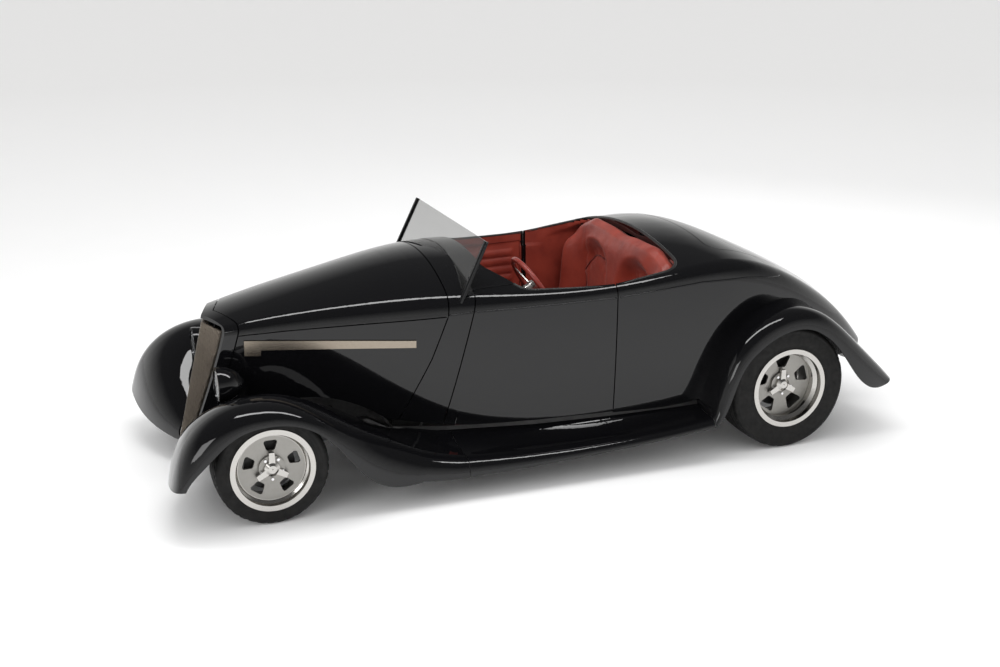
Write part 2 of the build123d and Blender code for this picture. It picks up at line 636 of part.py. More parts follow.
# Wheels: rim barrel, centre disc with five openings, three-bar knock-off; tyres with a flat tread
WHEEL_COLUMNS = (
    "corner axle_x y hub_z tyre_r tyre_half rim_r bead_r rim_half disc_y hub_r bore_r bore_deep "
    "open_in open_out width_in width_out"
).split()
WHEELS = [
    (
        *("front", FRONT_AXLE_X, 695, FRONT_TYRE_R, FRONT_TYRE_R, 97.5),
        *(208, 191, 90, 48, 64, 25, 38, 88, 142, 40, 74),
    ),
    (
        *("rear", REAR_AXLE_X, 680, REAR_TYRE_R, REAR_TYRE_R, 122.5),
        *(221, 204, 115, 26, 64, 30, 30, 92, 160, 44, 104),
    ),
]
RIM_SHEET = 9.0
RIM_DROP = 18.0
FLANGE = 7.0
DISC_THICK = 14.0
DISC_DISH = 8.0
HUB_PROUD = 12.0
OPENINGS = 5
SLOT_CORNER_R = 12.0
SPINNER_WINGS = 3
SPINNER_THICK = 16.0
SPINNER_CAP = [(0, 26), (20, 24), (38, 12), (40, 0), (0, 0)]
SPINNER_WING = [(-17, 0), (17, 0), (13, 84), (-13, 84)]


def ring(points):
    """Revolve a closed (radius, y) outline about the wheel axis."""
    face = make_face(Polyline(*[(r, y, 0) for r, y in points], close=True))
    return revolve(face, Axis.Y)


def rim(w):
    """Rim barrel with a dropped centre, slotted disc, hub and knock-off."""
    half, bead = w["rim_half"], w["bead_r"]
    outside = [
        (w["rim_r"], half + FLANGE),
        (w["rim_r"], half),
        (bead, half),
        (bead, half - 24),
        (bead - RIM_DROP, half - 40),
    ]
    outside = outside + [(r, -y) for r, y in reversed(outside)]
    inside = [
        (bead - RIM_SHEET, half + FLANGE),
        (bead - RIM_SHEET, half - 28),
        (bead - RIM_DROP - RIM_SHEET, half - 44),
    ]
    inside = inside + [(r, -y) for r, y in reversed(inside)]
    wheel = ring([*outside, *reversed(inside)])
    face_y, hub_r = w["disc_y"], w["hub_r"]
    hub_in, hub_out = face_y - w["bore_deep"], face_y + HUB_PROUD
    web_r = bead - RIM_DROP - RIM_SHEET + 3
    web = [
        (hub_r - 4, face_y),
        (web_r, face_y + DISC_DISH),
        (web_r, face_y + DISC_DISH - DISC_THICK),
        (hub_r - 4, face_y - DISC_THICK),
    ]
    hub = [(0, hub_out), (hub_r, hub_out), (hub_r, hub_in), (0, hub_in)]
    wheel = wheel + ring(web) + ring(hub)
    bore_r = w["bore_r"] + PIN_CLEARANCE
    wheel = wheel - ring([(0, hub_in - 1), (bore_r, hub_in - 1), (bore_r, face_y), (0, face_y)])
    a, b = w["width_in"] / 2, w["width_out"] / 2
    slot = [(-a, w["open_in"]), (a, w["open_in"]), (b, w["open_out"]), (-b, w["open_out"])]
    slot = make_face(Polyline(*[(x, 0, z) for x, z in slot], close=True))
    slot = extrude(fillet(slot.vertices(), SLOT_CORNER_R), amount=200, dir=(0, 1, 0), both=True)
    wheel = wheel - [Rot(0, 360 / OPENINGS * k, 0) * slot for k in range(OPENINGS)]
    wheel = wheel + ring([(r, hub_out + y) for r, y in SPINNER_CAP])
    wing = make_face(Polyline(*[(x, hub_out, z) for x, z in SPINNER_WING], close=True))
    wing = extrude(wing, amount=SPINNER_THICK, dir=(0, 1, 0))
    return wheel + [Rot(0, 360 / SPINNER_WINGS * k, 0) * wing for k in range(SPINNER_WINGS)]


def tyre(w):
    """Low tyre with flat tread and rounded shoulders."""
    half, bead, r = w["rim_half"], w["bead_r"], w["tyre_r"]
    wide = w["tyre_half"]
    side = [(bead + FIT_GAP, half - 3), (r - 20, wide), (r - 6, wide - 9), (r, wide - 26)]
    return ring([*side, *[(rad, -y) for rad, y in reversed(side)]])


for row in WHEELS:
    w = dict(zip(WHEEL_COLUMNS, row))
    place = Pos(w["axle_x"], w["y"], w["hub_z"])
    for kind, make in [("rim", rim), ("tyre", tyre)]:
        left = place * make(w)
        nodes[f"{kind}_{w['corner']}_left"] = left
        nodes[f"{kind}_{w['corner']}_right"] = mirror(left, Plane.XZ)

# Windshield: flat raked glass between two slim posts standing on the cowl
SHIELD_BASE = (fx(-1029), 581, 950)
SHIELD_TOP = (fx(-1174), 569, 1254)
POST_WIDTH = 14.0
POST_DEPTH = 22.0


def shield_slab(inset, thick, extra):
    """Raked plate between the shield's left and right edges, moved inward from them."""
    bx, by, bz = SHIELD_BASE
    tx, ty, tz = SHIELD_TOP
    base, top = Vector(bx, 0, bz), Vector(tx, 0, tz)
    up = (top - base).normalized()
    plane = Plane(origin=base, x_dir=(0, 1, 0), z_dir=Vector(0, 1, 0).cross(up))
    high = (top - base).length - extra
    points = [(by - inset, 0), (ty - inset, high), (-ty + inset, high), (-by + inset, 0)]
    face = make_face(Polyline(*[plane.from_local_coords(p) for p in points], close=True))
    return extrude(face, amount=thick / 2, dir=plane.z_dir, both=True)


glass = shield_slab(POST_WIDTH + REST_GAP, GLASS_THICK, 0)
nodes["windshield_glass"] = glass - outer_clear
posts = shield_slab(0, POST_DEPTH, 0) - shield_slab(POST_WIDTH, POST_DEPTH + 2, -5)
nodes["windshield_posts"] = posts - outer_clear

# Headlamps: bullet shells on short stems
LAMP = (fx(162), 362, 594)
LAMP_R = 88.0
LAMP_BACK = 125.0
BEZEL_DEEP = 22.0
bullet = make_face(
    [
        ThreePointArc((0, LAMP_R), (-LAMP_BACK * 0.6, LAMP_R * 0.76), (-LAMP_BACK, 0)),
        Line((-LAMP_BACK, 0), (0, 0)),
        Line((0, 0), (0, LAMP_R)),
    ]
)
bezel = Pos(BEZEL_DEEP / 2 - 4, 0, 0) * Rot(0, 90, 0) * Cylinder(LAMP_R + 2, BEZEL_DEEP)
lamp = revolve(bullet, Axis.X) + bezel
bowl = Pos(20, 0, 0) * Rot(0, 90, 0) * Cylinder(LAMP_R - 9, 40)
STEM_R = 16.0
STEM_BACK = 40.0
fender_left = nodes["front_fenders"].solids().sort_by(Axis.Y)[-1]
lamp_x, lamp_y, lamp_z = LAMP
lamp_foot = rod((lamp_x - STEM_BACK, lamp_y, 0), (lamp_x - STEM_BACK, lamp_y, lamp_z), STEM_R) & fender_left
foot_z = lamp_foot.bounding_box().max.Z + REST_GAP
stem = rod((lamp_x - STEM_BACK, lamp_y, foot_z), (lamp_x - STEM_BACK, lamp_y, lamp_z - LAMP_R / 2), STEM_R)
nodes["headlamp_shells"] = both_sides(Pos(*LAMP) * (lamp - bowl) + stem)
lens_r = LAMP_R - 9 - REST_GAP
lens = Pos(6, 0, 0) * Rot(0, 90, 0) * Cylinder(lens_r, 11)
nodes["headlamp_lenses"] = both_sides(Pos(*LAMP) * lens)

# Hood side vents: slim bars standing on the hood sides
VENT_SIDE = [
    (fx(18), 785),
    (fx(-800), 772),
    (fx(-800), 735),
    (fx(-60), 735),
    (fx(-60), 705),
    (fx(18), 705),
]
VENT_PROUD = 9.0
vent_layer = body_loft(VENT_PROUD) - body_loft(REST_GAP)
nodes["hood_vents"] = vent_layer & side_prism(VENT_SIDE)

# Interior: dash, bench, door trims, steering
DASH_REAR_X = fx(-1217)
DASH_FRONT_X = fx(-1177)
DASH_BOTTOM = 800.0
dash_half = COWL_CENTRE_Y - 8
dash = span_box(DASH_REAR_X, DASH_FRONT_X, -dash_half, dash_half, DASH_BOTTOM, 1200)
nodes["dash"] = dash & hollow_clear
trim_zone = between(shifted(DOOR_SEAM, -25), shifted(QUARTER_SEAM, 25), inner=COWL_CENTRE_Y)
trim_zone = trim_zone & span_box(-FAR, FAR, -FAR, FAR, 380, 945)
trims = (hollow_clear - body_hollow(FIT_GAP + TRIM_THICK)) & trim_zone
nodes["door_trim_left"] = trims & span_box(-FAR, FAR, 0, FAR, 0, FAR)
nodes["door_trim_right"] = trims & span_box(-FAR, FAR, -FAR, 0, 0, FAR)

SEAT_Y = 570.0
seat_base = FLOOR_TOP + REST_GAP
CUSHION_SIDE = [
    (rx(1230), seat_base),
    (rx(1250), 470),
    (rx(1200), 505),
    (rx(760), 470),
    (rx(700), seat_base),
]
BACK_SIDE = [
    (rx(748), 476),
    (rx(690), 980),
    (rx(630), 1020),
    (rx(560), 1000),
    (rx(480), 700),
    (rx(480), 330),
    (rx(690), 330),
]
nodes["seat_cushion"] = side_prism(CUSHION_SIDE, SEAT_Y) - tunnel_clear
nodes["seat_back"] = (side_prism(BACK_SIDE, SEAT_Y) & hollow_clear) - tunnel_clear

STEER_CENTRE = Vector(fx(-1523), 330, 930)
STEER_TILT = 32.0
STEER_RIM_R = 172.0
STEER_GRIP_R = 14.0
toward_driver = Vector(-cos(radians(STEER_TILT)), 0, sin(radians(STEER_TILT)))
steer_plane = Plane(origin=STEER_CENTRE, x_dir=(0, 1, 0), z_dir=toward_driver)
BOSS_DEPTH = 45.0
SPOKE_WIDTH = 26.0
SPOKE_THICK = 6.0
SPOKES = 3
steer = Torus(STEER_RIM_R, STEER_GRIP_R) + Pos(0, 0, 5 - BOSS_DEPTH / 2) * Cylinder(32, BOSS_DEPTH + 10)
spoke = Pos(STEER_RIM_R / 2, 0, -SPOKE_THICK) * Box(STEER_RIM_R, SPOKE_WIDTH, SPOKE_THICK)
steer = steer + [Rot(0, 0, 90 + 360 / SPOKES * k) * spoke for k in range(SPOKES)]
nodes["steering_wheel"] = steer_plane * steer

# Steering column, hung from the dash by a bracket and ending at the firewall
COLUMN_R = 22.0
COLUMN_LONG = 740.0
BRACKET_HALF = 18.0
column_top = STEER_CENTRE - toward_driver * (BOSS_DEPTH + REST_GAP)
column = rod(STEER_CENTRE - toward_driver * COLUMN_LONG, column_top, COLUMN_R)
bracket_x = (DASH_REAR_X + DASH_FRONT_X) / 2
bracket_drop = (bracket_x - STEER_CENTRE.X) * sin(radians(STEER_TILT)) / cos(radians(STEER_TILT))
bracket = span_box(
    bracket_x - BRACKET_HALF,
    bracket_x + BRACKET_HALF,
    STEER_CENTRE.Y - BRACKET_HALF,
    STEER_CENTRE.Y + BRACKET_HALF,
    STEER_CENTRE.Z - bracket_drop,
    DASH_BOTTOM - REST_GAP,
)
behind_firewall = side_prism([*shifted(firewall_line, -PLATE - REST_GAP), (-FAR, SILL_Z), (-FAR, 1150)])
nodes["steering_column"] = (column & behind_firewall) + bracket

os.makedirs("parts", exist_ok=True)
for name, shape in nodes.items():
    export_step(shape, f"parts/{name}.step")
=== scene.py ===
"""Looks for the street roadster: paint, metal, tyres, leather, trim, studio floor, light and camera."""

import math

import bmesh
import bpy
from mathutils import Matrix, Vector
from mathutils.bvhtree import BVHTree


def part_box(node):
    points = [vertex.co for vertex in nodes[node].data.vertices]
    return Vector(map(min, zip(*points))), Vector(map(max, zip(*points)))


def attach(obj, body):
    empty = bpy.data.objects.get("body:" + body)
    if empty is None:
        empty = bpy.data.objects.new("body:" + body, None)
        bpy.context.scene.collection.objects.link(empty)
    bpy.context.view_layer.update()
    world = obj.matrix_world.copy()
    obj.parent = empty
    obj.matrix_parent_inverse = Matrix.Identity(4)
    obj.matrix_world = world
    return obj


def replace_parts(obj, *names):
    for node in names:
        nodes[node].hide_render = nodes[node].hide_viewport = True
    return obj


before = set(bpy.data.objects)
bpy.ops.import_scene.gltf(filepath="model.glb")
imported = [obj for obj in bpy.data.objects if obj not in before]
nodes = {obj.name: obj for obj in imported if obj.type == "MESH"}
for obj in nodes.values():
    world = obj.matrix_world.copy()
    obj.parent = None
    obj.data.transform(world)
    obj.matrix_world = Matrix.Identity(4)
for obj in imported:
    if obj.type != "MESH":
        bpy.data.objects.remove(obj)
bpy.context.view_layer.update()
scene = bpy.context.scene
scene.view_settings.view_transform = "Standard"

# Places shared with the CAD, in metres
FRONT_X, REAR_X = 1.565, -1.280
FRONT_R, REAR_R = 0.280, 0.343
SIDES = (("left", 1), ("right", -1))


# Node helpers

def new_material(name, color, rough=0.5, metal=0.0, **sockets):
    """Principled material with its plain values on the shader's own sockets."""
    mat = bpy.data.materials.new(name)
    mat.use_nodes = True
    shader = mat.node_tree.nodes["Principled BSDF"]
    shader.inputs["Base Color"].default_value = (*color, 1)
    shader.inputs["Roughness"].default_value = rough
    shader.inputs["Metallic"].default_value = metal
    for key, value in sockets.items():
        shader.inputs[key.replace("_", " ")].default_value = value
    return mat


def add_node(mat, kind, **values):
    node = mat.node_tree.nodes.new(kind)
    for key, value in values.items():
        if hasattr(node, key):
            setattr(node, key, value)
        else:
            node.inputs[key.replace("_", " ")].default_value = value
    return node


def link(mat, a, b):
    mat.node_tree.links.new(a, b)


def shader_of(mat):
    return mat.node_tree.nodes["Principled BSDF"]


def coords(mat, scale=(1, 1, 1)):
    """Rest-frame coordinates, so a pattern stays with its body."""
    tex = add_node(mat, "ShaderNodeTexCoord")
    mapping = add_node(mat, "ShaderNodeMapping")
    mapping.inputs["Scale"].default_value = scale
    link(mat, tex.outputs["Object"], mapping.inputs["Vector"])
    return mapping.outputs["Vector"]


def noise(mat, scale, detail=3.0, stretch=(1, 1, 1)):
    tex = add_node(mat, "ShaderNodeTexNoise", Scale=scale, Detail=detail)
    link(mat, coords(mat, stretch), tex.inputs["Vector"])
    return tex.outputs["Fac"]


def spread(mat, value, low, high, from_low=0.3, from_high=0.7):
    """Map a value from one range to another."""
    node = add_node(mat, "ShaderNodeMapRange")
    link(mat, value, node.inputs["Value"])
    for key, number in zip(("From Min", "From Max", "To Min", "To Max"), (from_low, from_high, low, high)):
        node.inputs[key].default_value = number
    return node.outputs["Result"]


def vary_rough(mat, value, low, high):
    link(mat, spread(mat, value, low, high), shader_of(mat).inputs["Roughness"])


def vary_color(mat, value, dark, light, low=0.3, high=0.7):
    ramp = add_node(mat, "ShaderNodeValToRGB")
    ramp.color_ramp.elements[0].position = low
    ramp.color_ramp.elements[0].color = (*dark, 1)
    ramp.color_ramp.elements[1].position = high
    ramp.color_ramp.elements[1].color = (*light, 1)
    link(mat, value, ramp.inputs["Fac"])
    link(mat, ramp.outputs["Color"], shader_of(mat).inputs["Base Color"])


def bump(mat, value, strength, distance, socket="Normal"):
    node = add_node(mat, "ShaderNodeBump", Strength=strength, Distance=distance)
    link(mat, value, node.inputs["Height"])
    link(mat, node.outputs["Normal"], shader_of(mat).inputs[socket])


# Materials

paint = new_material(
    "body_paint", (0.003, 0.003, 0.0035), 0.3, Specular_IOR_Level=0.0, Coat_Weight=1.0, Coat_Roughness=0.015
)
vary_color(paint, noise(paint, 2600, 2), (0.0022, 0.0022, 0.0026), (0.0046, 0.0046, 0.0054))
bump(paint, noise(paint, 420, 1), 0.035, 0.0004, "Coat Normal")

frame_paint = new_material("frame_paint", (0.012, 0.012, 0.013), 0.42, Coat_Weight=0.2, Coat_Roughness=0.3)
vary_rough(frame_paint, noise(frame_paint, 60, 5), 0.32, 0.55)
vary_color(frame_paint, noise(frame_paint, 35, 6), (0.009, 0.009, 0.01), (0.02, 0.019, 0.018))

axle_paint = new_material("axle_paint", (0.02, 0.02, 0.02), 0.45)
vary_rough(axle_paint, noise(axle_paint, 80, 5), 0.35, 0.6)
vary_color(axle_paint, noise(axle_paint, 50, 6), (0.012, 0.012, 0.012), (0.032, 0.03, 0.028))

pewter = new_material("grille_pewter", (0.42, 0.37, 0.31), 0.34, 1.0)
vary_rough(pewter, noise(pewter, 60, 4, (20, 20, 1)), 0.26, 0.4)
vary_color(pewter, noise(pewter, 25, 3, (12, 12, 0.6)), (0.36, 0.315, 0.265), (0.48, 0.42, 0.355))

nickel = new_material("vent_nickel", (0.34, 0.29, 0.23), 0.22, 1.0)
vary_rough(nickel, noise(nickel, 90, 4, (1, 30, 30)), 0.16, 0.3)
vary_color(nickel, noise(nickel, 60, 4, (0.6, 20, 20)), (0.27, 0.23, 0.185), (0.42, 0.365, 0.3))
bump(nickel, noise(nickel, 160, 3, (1, 30, 30)), 0.08, 0.0003)

chrome = new_material("lamp_chrome", (0.82, 0.82, 0.83), 0.06, 1.0)
vary_rough(chrome, noise(chrome, 25, 4), 0.03, 0.1)

steel = new_material("bare_steel", (0.46, 0.45, 0.44), 0.3, 1.0)
vary_rough(steel, noise(steel, 40, 5), 0.2, 0.42)
vary_color(steel, noise(steel, 14, 6), (0.36, 0.35, 0.33), (0.52, 0.51, 0.5))

iron = new_material("engine_iron", (0.07, 0.07, 0.07), 0.6, 0.6)
vary_rough(iron, noise(iron, 70, 5), 0.5, 0.75)
bump(iron, noise(iron, 220, 4), 0.25, 0.001)

smoked = new_material(
    "screen_glass", (0.47, 0.47, 0.465), 0.02, IOR=1.1, Transmission_Weight=1.0, Coat_Weight=0.35
)
vary_rough(smoked, noise(smoked, 6, 2), 0.01, 0.03)

lens_glass = new_material("lamp_glass", (0.8, 0.81, 0.82), 0.12, 0.75, Coat_Weight=1.0, Coat_Roughness=0.03)
lens_wave = add_node(lens_glass, "ShaderNodeTexWave", wave_type="BANDS", bands_direction="Y", Scale=28.0)
link(lens_glass, coords(lens_glass), lens_wave.inputs["Vector"])
bump(lens_glass, lens_wave.outputs["Fac"], 0.4, 0.0015)

post_metal = new_material("post_metal", (0.006, 0.006, 0.0065), 0.3, Specular_IOR_Level=0.3)
vary_rough(post_metal, noise(post_metal, 50, 4), 0.22, 0.4)

rubber = new_material("tyre_rubber", (0.008, 0.008, 0.008), 0.62, Specular_IOR_Level=0.22)
vary_rough(rubber, noise(rubber, 45, 5), 0.5, 0.75)
vary_color(rubber, noise(rubber, 20, 6), (0.006, 0.006, 0.006), (0.012, 0.0115, 0.011))
bump(rubber, noise(rubber, 500, 3), 0.15, 0.0004)

dial_face = new_material("dial_face", (0.02, 0.02, 0.02), 0.4)
vary_rough(dial_face, noise(dial_face, 300, 2), 0.3, 0.5)
dial_mark = new_material("dial_mark", (0.75, 0.73, 0.68), 0.5)
vary_rough(dial_mark, noise(dial_mark, 200, 2), 0.4, 0.6)


def leather_material(name, dark, light, grain=420.0, rough=(0.36, 0.52)):
    """Grained hide: cell pattern bump, soft colour drift, slight sheen."""
    mat = new_material(name, light, 0.45, Specular_IOR_Level=0.45, Sheen_Weight=0.08)
    vary_color(mat, noise(mat, 9, 5), dark, light)
    vary_rough(mat, noise(mat, 30, 5), *rough)
    cells = add_node(mat, "ShaderNodeTexVoronoi", feature="DISTANCE_TO_EDGE", Scale=grain)
    link(mat, coords(mat), cells.inputs["Vector"])
    bump(mat, spread(mat, cells.outputs["Distance"], 0, 1, 0.0, 0.12), 0.22, 0.0005)
    return mat


FINE_GRAIN = 600.0
leather = leather_material("leather_red", (0.19, 0.022, 0.013), (0.29, 0.04, 0.023), rough=(0.32, 0.47))
leather_dark = leather_material("leather_piping", (0.09, 0.012, 0.009), (0.14, 0.02, 0.014), FINE_GRAIN)
edge_leather = leather_material(
    "edge_leather", (0.006, 0.006, 0.006), (0.012, 0.012, 0.012), FINE_GRAIN, (0.3, 0.42)
)

carpet = new_material("floor_carpet", (0.05, 0.01, 0.008), 0.95, Sheen_Weight=0.3)
vary_color(carpet, noise(carpet, 260, 3), (0.022, 0.006, 0.005), (0.075, 0.014, 0.01))
bump(carpet, noise(carpet, 520, 3), 0.8, 0.003)


def wheel_material(name, axle_x, axle_z, lip_r, proud_y):
    """Satin cast centre that turns to polished metal at the lip and on the knock-off."""
    mat = new_material(name, (0.5, 0.49, 0.47), 0.3, 1.0)
    split = add_node(mat, "ShaderNodeSeparateXYZ")
    tex = add_node(mat, "ShaderNodeTexCoord")
    link(mat, tex.outputs["Object"], split.inputs["Vector"])
    joined = add_node(mat, "ShaderNodeCombineXYZ")
    for axis, place in (("X", axle_x), ("Z", axle_z)):
        shift = add_node(mat, "ShaderNodeMath", operation="SUBTRACT")
        link(mat, split.outputs[axis], shift.inputs[0])
        shift.inputs[1].default_value = place
        link(mat, shift.outputs[0], joined.inputs[axis])
    reach = add_node(mat, "ShaderNodeVectorMath", operation="LENGTH")
    link(mat, joined.outputs["Vector"], reach.inputs[0])
    outward = add_node(mat, "ShaderNodeMath", operation="ABSOLUTE")
    link(mat, split.outputs["Y"], outward.inputs[0])
    at_lip = spread(mat, reach.outputs["Value"], 0, 1, lip_r - 0.006, lip_r)
    at_cap = spread(mat, outward.outputs[0], 0, 1, proud_y, proud_y + 0.001)
    bright = add_node(mat, "ShaderNodeMath", operation="MAXIMUM")
    link(mat, at_lip, bright.inputs[0])
    link(mat, at_cap, bright.inputs[1])
    bright = bright.outputs[0]
    tone = add_node(mat, "ShaderNodeMix", data_type="RGBA")
    tone.inputs[6].default_value = (0.34, 0.33, 0.31, 1)
    tone.inputs[7].default_value = (0.56, 0.545, 0.52, 1)
    link(mat, bright, tone.inputs["Factor"])
    link(mat, tone.outputs[2], shader_of(mat).inputs["Base Color"])
    mixed = add_node(mat, "ShaderNodeMath", operation="ADD")
    link(mat, spread(mat, bright, 0.42, 0.18, 0, 1), mixed.inputs[0])
    link(mat, spread(mat, noise(mat, 60, 4), -0.04, 0.05), mixed.inputs[1])
    link(mat, mixed.outputs[0], shader_of(mat).inputs["Roughness"])
    bump(mat, noise(mat, 300, 3), 0.05, 0.0003)
    return mat


wheel_front = wheel_material("wheel_front", FRONT_X, FRONT_R, lip_r=0.168, proud_y=0.7555)
wheel_rear = wheel_material("wheel_rear", REAR_X, REAR_R, lip_r=0.182, proud_y=0.7185)


def steering_material(name, centre, rim_r):
    """Red hide on the grip, polished metal on spokes and boss, split by distance from the hub."""
    mat = new_material(name, (0.2, 0.03, 0.02), 0.42)
    tex = add_node(mat, "ShaderNodeTexCoord")
    away = add_node(mat, "ShaderNodeVectorMath", operation="DISTANCE")
    link(mat, tex.outputs["Object"], away.inputs[0])
    away.inputs[1].default_value = centre
    on_grip = spread(mat, away.outputs["Value"], 0, 1, rim_r - 0.017, rim_r - 0.015)
    tone = add_node(mat, "ShaderNodeMix", data_type="RGBA")
    tone.inputs[6].default_value = (0.6, 0.59, 0.57, 1)
    tone.inputs[7].default_value = (0.22, 0.03, 0.022, 1)
    link(mat, on_grip, tone.inputs["Factor"])
    link(mat, tone.outputs[2], shader_of(mat).inputs["Base Color"])
    metal = add_node(mat, "ShaderNodeMath", operation="SUBTRACT")
    metal.inputs[0].default_value = 1.0
    link(mat, on_grip, metal.inputs[1])
    link(mat, metal.outputs[0], shader_of(mat).inputs["Metallic"])
    vary_rough(mat, noise(mat, 60, 4), 0.22, 0.42)
    bump(mat, noise(mat, 700, 3), 0.1, 0.0004)
    return mat


steer_mat = steering_material("steer_wheel", centre=(0.042, 0.33, 0.93), rim_r=0.172)

NODE_MATERIALS = (
    (paint, "hood_top hood_sides grille_shell cowl door_left door_right rear_body deck_lid dash"),
    (paint, "front_fenders running_boards rear_fenders headlamp_shells"),
    (frame_paint, "frame floor trunk_floor firewall wheel_tubs"),
    (axle_paint, "front_axle rear_axle drive_line knuckle_left knuckle_right"),
    (steel, "exhaust steering_column tie_rod"),
    (iron, "engine"),
    (nickel, "hood_vents"),
    (pewter, "grille_bars"),
    (lens_glass, "headlamp_lenses"),
    (smoked, "windshield_glass"),
    (post_metal, "windshield_posts"),
    (steer_mat, "steering_wheel"),
    (wheel_front, "rim_front_left rim_front_right"),
    (wheel_rear, "rim_rear_left rim_rear_right"),
    (leather, "seat_cushion seat_back door_trim_left door_trim_right"),
)
for mat, names in NODE_MATERIALS:
    for name in names.split():
        nodes[name].data.materials.clear()
        nodes[name].data.materials.append(mat)


# Mesh helpers

def mesh_object(name, points, faces, mat, smooth=True):
    data = bpy.data.meshes.new(name)
    data.from_pydata([tuple(p) for p in points], [], faces)
    data.validate()
    obj = bpy.data.objects.new(name, data)
    scene.collection.objects.link(obj)
    shape = bmesh.new()
    shape.from_mesh(data)
    bmesh.ops.recalc_face_normals(shape, faces=shape.faces)
    shape.to_mesh(data)
    shape.free()
    for poly in data.polygons:
        poly.use_smooth = smooth
    data.materials.append(mat)
    return obj


def loops_object(name, loops, mat, closed=False):
    """Skin over equal closed loops of points, capped at both ends unless the run closes on itself."""
    count = len(loops[0])
    points = [p for loop in loops for p in loop]
    faces = []
    runs = len(loops) if closed else len(loops) - 1
    for i in range(runs):
        a, b = i * count, ((i + 1) % len(loops)) * count
        for j in range(count):
            k = (j + 1) % count
            faces.append((a + j, a + k, b + k, b + j))
    if not closed:
        faces.append(tuple(range(count)))
        faces.append(tuple(range((len(loops) - 1) * count, len(loops) * count)))
    return mesh_object(name, points, faces, mat)


def circle_turns(count):
    """Even angles round a full turn."""
    return [2 * math.pi * k / count for k in range(count)]


def tube(name, path, radius, mat, sides=10, closed=False):
    """Round tube along a path, its sections carried along without twist."""
    path = [Vector(p) for p in path]
    size = len(path)
    across = None
    loops = []
    for i, here in enumerate(path):
        back = path[i - 1] if closed or i else here
        ahead = path[(i + 1) % size] if closed or i < size - 1 else here
        along = (ahead - back).normalized()
        seed = across or Vector((0, 0, 1))
        across = (seed - along * seed.dot(along)).normalized()
        up = along.cross(across)
        loops.append(
            [
                here + across * (radius * math.cos(t)) + up * (radius * math.sin(t))
                for t in circle_turns(sides)
            ]
        )
    return loops_object(name, loops, mat, closed)


def grid_faces(index):
    """Quads between neighbouring points of a grid that may have holes; index maps a place to its point."""
    faces = []
    for i, j in index:
        corners = [(i, j), (i + 1, j), (i + 1, j + 1), (i, j + 1)]
        if all(c in index for c in corners):
            faces.append([index[c] for c in corners])
    return faces


def surface_of(obj):
    mesh = obj.data
    return BVHTree.FromPolygons([v.co for v in mesh.vertices], [p.vertices for p in mesh.polygons])


def smooth_step(low, high, value):
    t = min(max((value - low) / (high - low), 0.0), 1.0)
    return t * t * (3 - 2 * t)


def table_value(rows, x):
    """Straight-line reading of a table of (x, value) rows in falling x."""
    for (x0, v0), (x1, v1) in zip(rows, rows[1:]):
        if x0 >= x >= x1:
            return v0 + (v1 - v0) * (x0 - x) / (x0 - x1)
    return rows[0][1] if x > rows[0][0] else rows[-1][1]


# Tyres: turned section with road grooves, shoulder blocks and sidewall ribs

# corner, axle x, wheel centre y, tyre radius, half width, bead radius, half rim width
TYRES = (
    ("front", FRONT_X, 0.695, FRONT_R, 0.0975, 0.191, 0.090),
    ("rear", REAR_X, 0.680, REAR_R, 0.1225, 0.204, 0.115),
)
TYRE_TURNS = 144
TREAD_STEPS = 40
TREAD_CROWN = 0.0035
GROOVES = (0.0, 0.38, 0.72)  # shares of the half tread
GROOVE_DEEP = 0.006
GROOVE_EDGE, GROOVE_BED = 0.05, 0.035
BLOCK_TURNS = 4
BLOCK_FROM = 0.80
NOTCH_DEEP = GROOVE_DEEP * 0.8


def tyre_section(radius, half, bead, rim_half):
    """Half outline from the middle of the tread to the bead: (radius, y, tread share)."""
    rows = []
    tread_half = half - 0.016
    for i in range(TREAD_STEPS + 1):
        share = i / TREAD_STEPS
        deep = max(smooth_step(GROOVE_EDGE, GROOVE_BED, abs(share - g)) for g in GROOVES)
        rows.append((radius - TREAD_CROWN * share ** 2 - GROOVE_DEEP * deep, share * tread_half, share))
    return rows + [
        (radius - 0.0085, half - 0.009, 0.0),
        (radius - 0.018, half - 0.003, 0.0),
        (radius - 0.026, half - 0.0008, 0.0),
        (radius - 0.028, half - 0.0018, 0.0),
        (radius - 0.040, half - 0.0010, 0.0),
        (bead + 0.040, half - 0.0016, 0.0),
        (bead + 0.031, half - 0.0035, 0.0),
        (bead + 0.029, half - 0.0022, 0.0),
        (bead + 0.020, half - 0.0058, 0.0),
        (bead + 0.010, rim_half + 0.0015, 0.0),
        (bead + 0.0010, rim_half - 0.0040, 0.0),
    ]


def tyre(name, x, y, radius, half, bead, rim_half):
    """Tyre turned about its axle, with notches that part the shoulder blocks."""
    outer = tyre_section(radius, half, bead, rim_half)
    outline = [(r, -w, s) for r, w, s in reversed(outer[1:])] + outer
    loops = []
    for k, turn in enumerate(circle_turns(TYRE_TURNS)):
        notch = k % BLOCK_TURNS == 0
        loop = []
        for r, w, share in outline:
            cut = NOTCH_DEEP if notch and share > BLOCK_FROM else 0.0
            loop.append(Vector((x + (r - cut) * math.sin(turn), y + w, radius + (r - cut) * math.cos(turn))))
        loops.append(loop)
    return loops_object(name, loops, rubber, closed=True)


for corner, axle_x, wheel_y, radius, half, bead, rim_half in TYRES:
    for side, sign in SIDES:
        piece = tyre(f"tread_{corner}_{side}", axle_x, sign * wheel_y, radius, half, bead, rim_half)
        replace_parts(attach(piece, f"{corner}_{side}_wheel"), f"tyre_{corner}_{side}")


# Lug nuts round each hub

